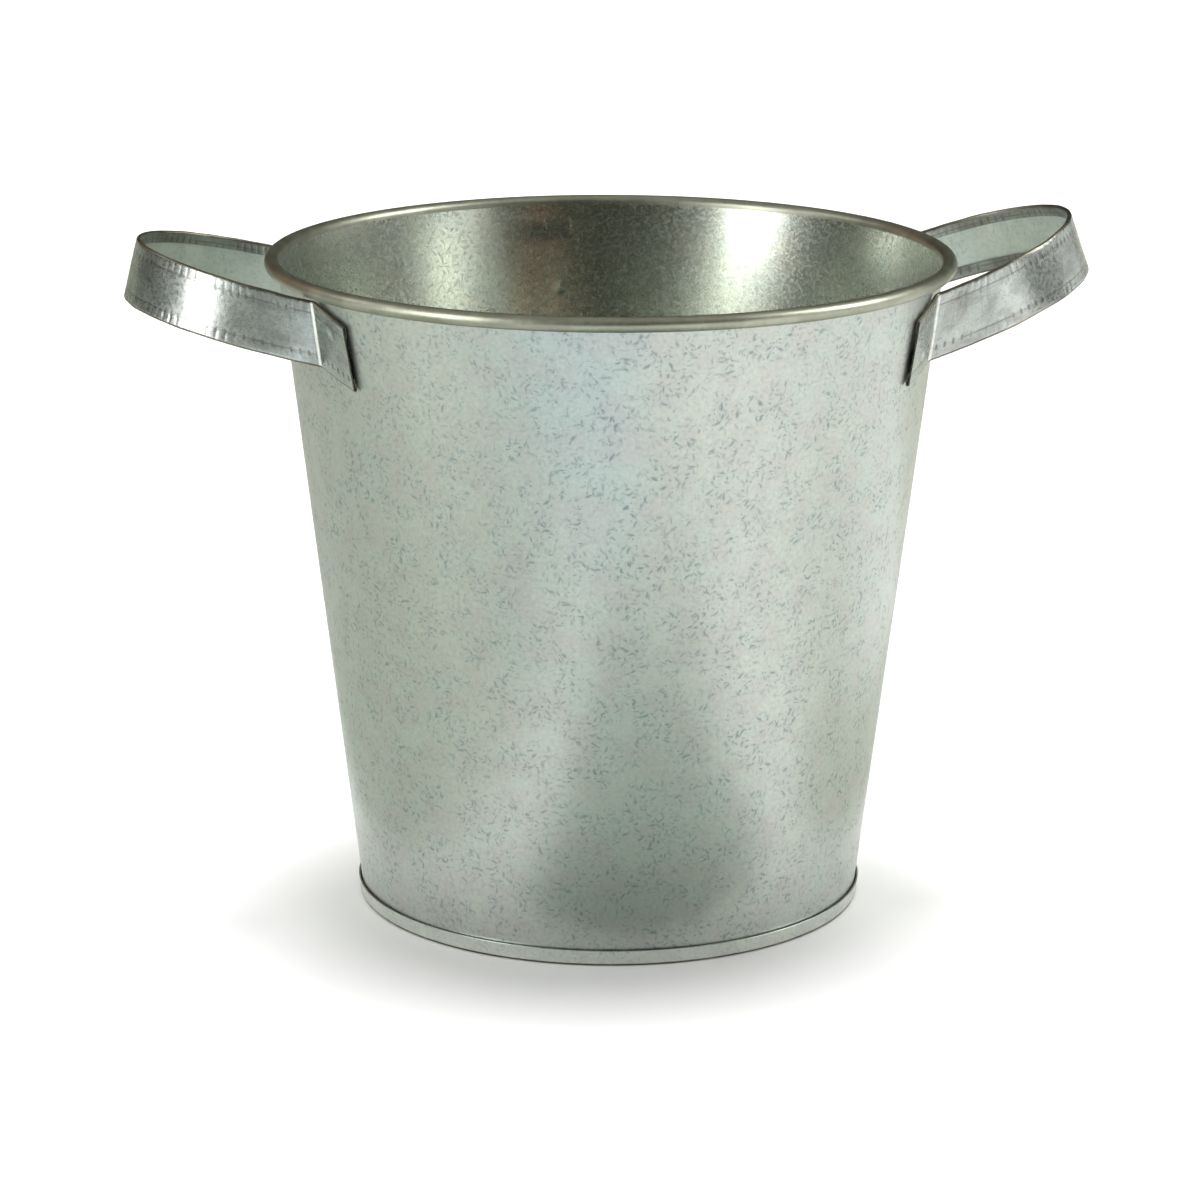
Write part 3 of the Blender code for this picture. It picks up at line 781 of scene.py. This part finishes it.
def make_handle(node, name, turn, tilt, edge_height, seed):
    """A whole handle: stations along the strap from one free end, around the loop, to the other."""
    strap = Strap(tilt, edge_height)
    line = strap_line()
    lengths = line_lengths(line)
    loop = sheet_loop(line, STRAP_SHEET)
    tab_start = LOOP_STEPS + BEND_STEPS
    last = tab_start + TAB_STEPS

    def half_station(station):
        """A function (across, outward) -> point for one station of the half strap."""
        if station <= LOOP_STEPS:
            return lambda a, o: strap.loop_place(strap.arm_end * station / LOOP_STEPS, a, o)
        if station <= tab_start:
            return lambda a, o: strap.bend_place(strap.turn * (station - LOOP_STEPS) / BEND_STEPS, a, o)
        return lambda a, o: strap.tab_place((station - tab_start) / TAB_STEPS, a, o)

    middles = [half_station(s)(0.0, 0.0) for s in range(last + 1)]
    runs = [0.0]
    for a, b in zip(middles, middles[1:]):
        runs.append(runs[-1] + (b - a).length)
    spin = Matrix.Rotation(turn, 3, "Z")
    stations = list(range(last, -last - 1, -1))
    rings = []
    for station in stations:
        place_at = half_station(abs(station))
        along = math.copysign(runs[abs(station)], station)
        share = (abs(station) - tab_start) / TAB_STEPS
        loose = 1.0 - smooth_step((abs(station) - LOOP_STEPS + TRUE_STEPS) / TRUE_STEPS)
        ring = []
        for middle, normal, offset, _, _ in loop:
            across, out = middle + normal * offset
            relief = strap_relief(along, middle.x, seed)
            if share > 0.0:
                for weld_share, weld_across in TAB_WELDS:
                    distance = math.hypot((share - weld_share) * TAB_LENGTH, middle.x - weld_across)
                    relief -= weld_dimple(distance, TAB_WELD_RADIUS, TAB_WELD_DEPTH)
                relief = min(relief, TAB_RELIEF)
            # Near the wall no hem comes closer to it than the smooth strap does.
            if middle.y < -HEM_SPACING / 4 and share > -0.2:
                relief = max(0.0, relief)
            edge_place = Vector((along * 1000.0 * 0.11, math.copysign(5.0, middle.x), seed))
            wander = EDGE_WANDER * loose * noise.noise(edge_place)
            point = place_at(across + wander * abs(middle.x) / (STRAP_WIDTH / 2), out + relief)
            if station < 0:
                point = Vector((point.x, -point.y, point.z))
            elif station == 0:
                point = Vector((point.x, 0.0, point.z))
            ring.append(tuple(spin @ point))
        rings.append(ring)

    def find_uv(i, k, face):
        """The place on the flat strip, with its middle line at 0 and each handle at a place of its own."""
        along = math.copysign(runs[abs(stations[i])], stations[i])
        return along + seed * 0.1, lengths[loop[k][3]] - lengths[-1] / 2

    def pick_material(face):
        """0 the face, 1 rolled and cut edges, painted dark as shade, 2 the hems' inner side, 3 the bend,
        painted light as a highlight, 4 the plain back.
        """
        middles = [loop[k][0] for _, k in face]
        if len(face) > 4 or all(abs(p.x) > STRAP_WIDTH / 2 - EDGE_SHADE_BAND for p in middles):
            return 1
        if all(p.y < -HEM_SHUT + TINY for p in middles):
            return 2
        runs_along = [abs(stations[i]) for i, _ in face]
        # The bend, with its painted highlight.
        if LOOP_STEPS + 2 <= min(runs_along) and max(runs_along) <= tab_start - 2:
            return 3
        corners = [loop[k] for _, k in face]
        if all(p.y + normal.y * offset < -STRAP_SHEET / 4 < p.y for p, normal, offset, _, _ in corners):
            return 4
        return 0

    finishes = [strap_finish, edge_shade_finish, hem_finish, bend_highlight_finish, strap_back_finish]
    return grid_piece(name, rings, False, finishes, pick_material, find_uv, node)


# ---------------------------------------------------------------- put together

pieces = [(make_wall(), "galvanised_sheet"), (make_bottom(), "galvanised_pan")]
for seed, (node, (turn, tilt, edge_height)) in enumerate(HANDLES.items(), start=3):
    handle = make_handle(node, node + "_strap", turn, tilt, edge_height, float(seed))
    pieces.append((handle, "galvanised_strap"))

for piece, slot in pieces:
    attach(piece, "root")

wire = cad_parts["rim_wire"]
wire.data.materials.clear()
wire.data.materials.append(wire_finish())


# ---------------------------------------------------------------- studio

FLOOR_REACH = 14.0
OVERHEAD_POWER = 2.9
OVERHEAD_SPREAD = math.radians(26)
OVERHEAD_LEAN = (math.radians(-8), math.radians(3), 0.0)
WARM = (1.0, 0.28, 0.06)
SOFTBOXES = (                   # name, place, height aimed at, width, height, power, colour
    ("softbox_left", (-1.24, -0.66, 0.52), 0.15, 0.42, 1.0, 14.0, None),
    ("softbox_left_high", (-1.40, 0.35, 1.00), 0.15, 0.50, 0.8, 3.0, None),
    ("softbox_right", (1.35, -0.17, 1.00), 0.15, 0.40, 0.9, 18.0, None),
    ("fill_right", (1.15, -0.96, 0.32), 0.17, 0.50, 0.50, 1.1, None),
    ("fill_back_right", (1.50, 0.55, 0.22), 0.18, 0.90, 0.30, 0.9, None),
    ("warm_glow", (-0.95, 1.02, 0.62), 0.15, 0.18, 0.6, 0.48, WARM),
    ("warm_glow_front", (0.46, -1.32, 0.22), 0.18, 0.11, 0.26, 0.030, (1.0, 0.22, 0.06)),
)
# Painted shade and reflection: cards seen in the metal only, darker floor near the pail and a bluish patch in
# front.
REFLECTION_CARDS = (                       # name, two corners on the floor, height above it, colour
    ("shade_card_front", (-0.060, -0.28), (0.098, -0.088), 0.0015, (0.39, 0.445, 0.39)),
    ("shade_card_front_far", (-5.0, -7.0), (-0.02, -0.98), 0.0010, (0.33, 0.33, 0.29)),
    ("shade_card_left", (-0.90, -0.95), (-0.115, 0.25), 0.0010, (0.49, 0.52, 0.46)),
    ("shade_card_right", (0.115, -0.075), (0.22, 0.255), 0.0010, (0.58, 0.60, 0.53)),
    ("blue_front", (-0.42, -0.75), (0.02, -0.33), 0.0020, (0.80, 0.90, 1.00)),
    ("shade_card_mid_right", (0.22, -0.19), (0.45, 0.02), 0.0010, (0.79, 0.80, 0.75)),
    ("shade_card_back_near", (-0.90, 0.26), (0.0, 0.95), 0.0020, (0.47, 0.48, 0.43)),
    ("shade_card_back_left", (-6.0, 0.26), (0.0, 13.0), 0.0010, (0.28, 0.30, 0.23)),
    ("shade_card_back_right", (0.0, 0.26), (6.0, 13.0), 0.0010, (0.57, 0.58, 0.50)),
)


def lay_sheet(name, paper, low, high, height, grain, light, dark):
    """A flat matt sheet of paper, level with the floor, slightly uneven in tone."""
    mesh = bpy.data.meshes.new(name)
    mesh.from_pydata([(low[0], low[1], height), (high[0], low[1], height), (high[0], high[1], height),
                      (low[0], high[1], height)], [], [(0, 1, 2, 3)])
    sheet = bpy.data.objects.new(name, mesh)
    bpy.context.scene.collection.objects.link(sheet)
    finish = Finish(paper)
    place = finish.add("ShaderNodeTexCoord", {}).outputs["Object"]
    shade = finish.noise(place, grain, 2.0).outputs["Fac"]
    finish.put(finish.shader.inputs["Base Color"], finish.mix(shade, (*light, 1.0), (*dark, 1.0)))
    finish.shader.inputs["Roughness"].default_value = 0.9
    finish.shader.inputs["Specular IOR Level"].default_value = 0.0
    mesh.materials.append(finish.material)
    return sheet


def make_floor():
    """White paper, out to far beyond the picture."""
    floor = lay_sheet("studio_floor", "studio_paper", (-FLOOR_REACH, -FLOOR_REACH), (FLOOR_REACH, FLOOR_REACH),
                      0.0, 3.0, (0.925, 0.925, 0.91), (0.935, 0.935, 0.92))


def add_reflection_card(name, low, high, height, colour):
    """A grey card on the floor that shows in the metal only: painted shade and tint of the floor, seen in
    reflections.
    """
    card = lay_sheet(name, name, low, high, height, 4.0, colour, [0.9 * part for part in colour])
    card.visible_camera = False
    card.visible_diffuse = False
    card.visible_shadow = False


def add_softbox(name, place, aim, width, height, power, colour):
    """A lamp that shows in the metal only, turned to the pail's axis."""
    light = bpy.data.lights.new(name, "AREA")
    light.shape = "RECTANGLE"
    light.size = width
    light.size_y = height
    light.energy = power
    if colour:
        light.color = colour
    lamp = bpy.data.objects.new(name, light)
    lamp.location = place
    to_pail = Vector((0.0, 0.0, aim)) - Vector(place)
    lamp.rotation_euler = to_pail.to_track_quat("-Z", "Y").to_euler()
    lamp.visible_camera = False
    lamp.visible_diffuse = False
    bpy.context.scene.collection.objects.link(lamp)


def add_overhead():
    """A wide, distant light from above, so that the floor is lit evenly to its edges."""
    light = bpy.data.lights.new("overhead", "SUN")
    light.energy = OVERHEAD_POWER
    light.angle = OVERHEAD_SPREAD
    lamp = bpy.data.objects.new("overhead", light)
    lamp.rotation_euler = OVERHEAD_LEAN
    lamp.visible_glossy = False
    bpy.context.scene.collection.objects.link(lamp)


def make_world():
    """A dim grey room for the metal to reflect, white light for the floor, and a white backdrop."""
    world = bpy.data.worlds.new("studio")
    bpy.context.scene.world = world
    world.use_nodes = True
    tree = world.node_tree
    room = next(n for n in tree.nodes if n.type == "BACKGROUND")
    room.inputs["Strength"].default_value = 1.0
    place = tree.nodes.new("ShaderNodeTexCoord")
    parts = tree.nodes.new("ShaderNodeSeparateXYZ")
    tree.links.new(place.outputs["Generated"], parts.inputs[0])
    rise = tree.nodes.new("ShaderNodeMapRange")
    rise.interpolation_type = "SMOOTHSTEP"
    rise.inputs["From Min"].default_value = 0.35
    rise.inputs["From Max"].default_value = 0.95
    tree.links.new(parts.outputs["Z"], rise.inputs["Value"])
    ceiling = tree.nodes.new("ShaderNodeMix")
    ceiling.data_type = "RGBA"
    tree.links.new(rise.outputs["Result"], ceiling.inputs["Factor"])
    low, high = [socket for socket in ceiling.inputs if socket.type == "RGBA"]
    low.default_value = (0.028, 0.031, 0.018, 1.0)
    high.default_value = (0.48, 0.48, 0.43, 1.0)
    tree.links.new(next(s for s in ceiling.outputs if s.type == "RGBA"), room.inputs["Color"])
    white, backdrop = [tree.nodes.new("ShaderNodeBackground") for _ in range(2)]
    for plain, strength in ((white, 0.73), (backdrop, 1.05)):
        plain.inputs["Color"].default_value = (1.0, 1.0, 1.0, 1.0)
        plain.inputs["Strength"].default_value = strength
    path = tree.nodes.new("ShaderNodeLightPath")
    output = next(n for n in tree.nodes if n.type == "OUTPUT_WORLD")
    shown = white
    for kind_of_ray, seen in (("Is Camera Ray", backdrop), ("Is Glossy Ray", room)):
        choose = tree.nodes.new("ShaderNodeMixShader")
        tree.links.new(path.outputs[kind_of_ray], choose.inputs[0])
        tree.links.new(shown.outputs[0], choose.inputs[1])
        tree.links.new(seen.outputs[0], choose.inputs[2])
        shown = choose
    tree.links.new(shown.outputs[0], output.inputs["Surface"])


CAMERA_DISTANCE = 1.2113            # from the pail's axis, along the floor
CAMERA_HEIGHT = 0.4124
CAMERA_TURN = math.radians(7.2)     # around the pail, from straight in front towards -X
CAMERA_PAN = -0.0023                # this and the next two are in radians
CAMERA_PITCH = 0.2619
CAMERA_ROLL = 0.0034
CAMERA_LENS = 127.36                # in millimetres, as is the sensor's width
CAMERA_SENSOR = 36.0


def make_camera():
    forward = Vector((math.sin(CAMERA_PAN) * math.cos(CAMERA_PITCH),
                      math.cos(CAMERA_PAN) * math.cos(CAMERA_PITCH), -math.sin(CAMERA_PITCH)))
    right = Vector((math.cos(CAMERA_PAN), -math.sin(CAMERA_PAN), 0.0))
    up = right.cross(forward)
    rolled_right = right * math.cos(CAMERA_ROLL) + up * math.sin(CAMERA_ROLL)
    rolled_up = up * math.cos(CAMERA_ROLL) - right * math.sin(CAMERA_ROLL)
    axes = Matrix((rolled_right, rolled_up, -forward)).transposed().to_4x4()
    place = Matrix.Translation((0.0, -CAMERA_DISTANCE, CAMERA_HEIGHT))
    camera = bpy.data.objects.new("camera", bpy.data.cameras.new("camera"))
    camera.data.lens = CAMERA_LENS
    camera.data.sensor_width = CAMERA_SENSOR
    camera.matrix_world = Matrix.Rotation(-CAMERA_TURN, 4, "Z") @ place @ axes
    bpy.context.scene.collection.objects.link(camera)
    bpy.context.scene.camera = camera


make_floor()
make_world()
for softbox in SOFTBOXES:
    add_softbox(*softbox)
add_overhead()
for card in REFLECTION_CARDS:
    add_reflection_card(*card)
make_camera()
bpy.context.scene.view_settings.view_transform = "Standard"

bpy.context.view_layer.update()
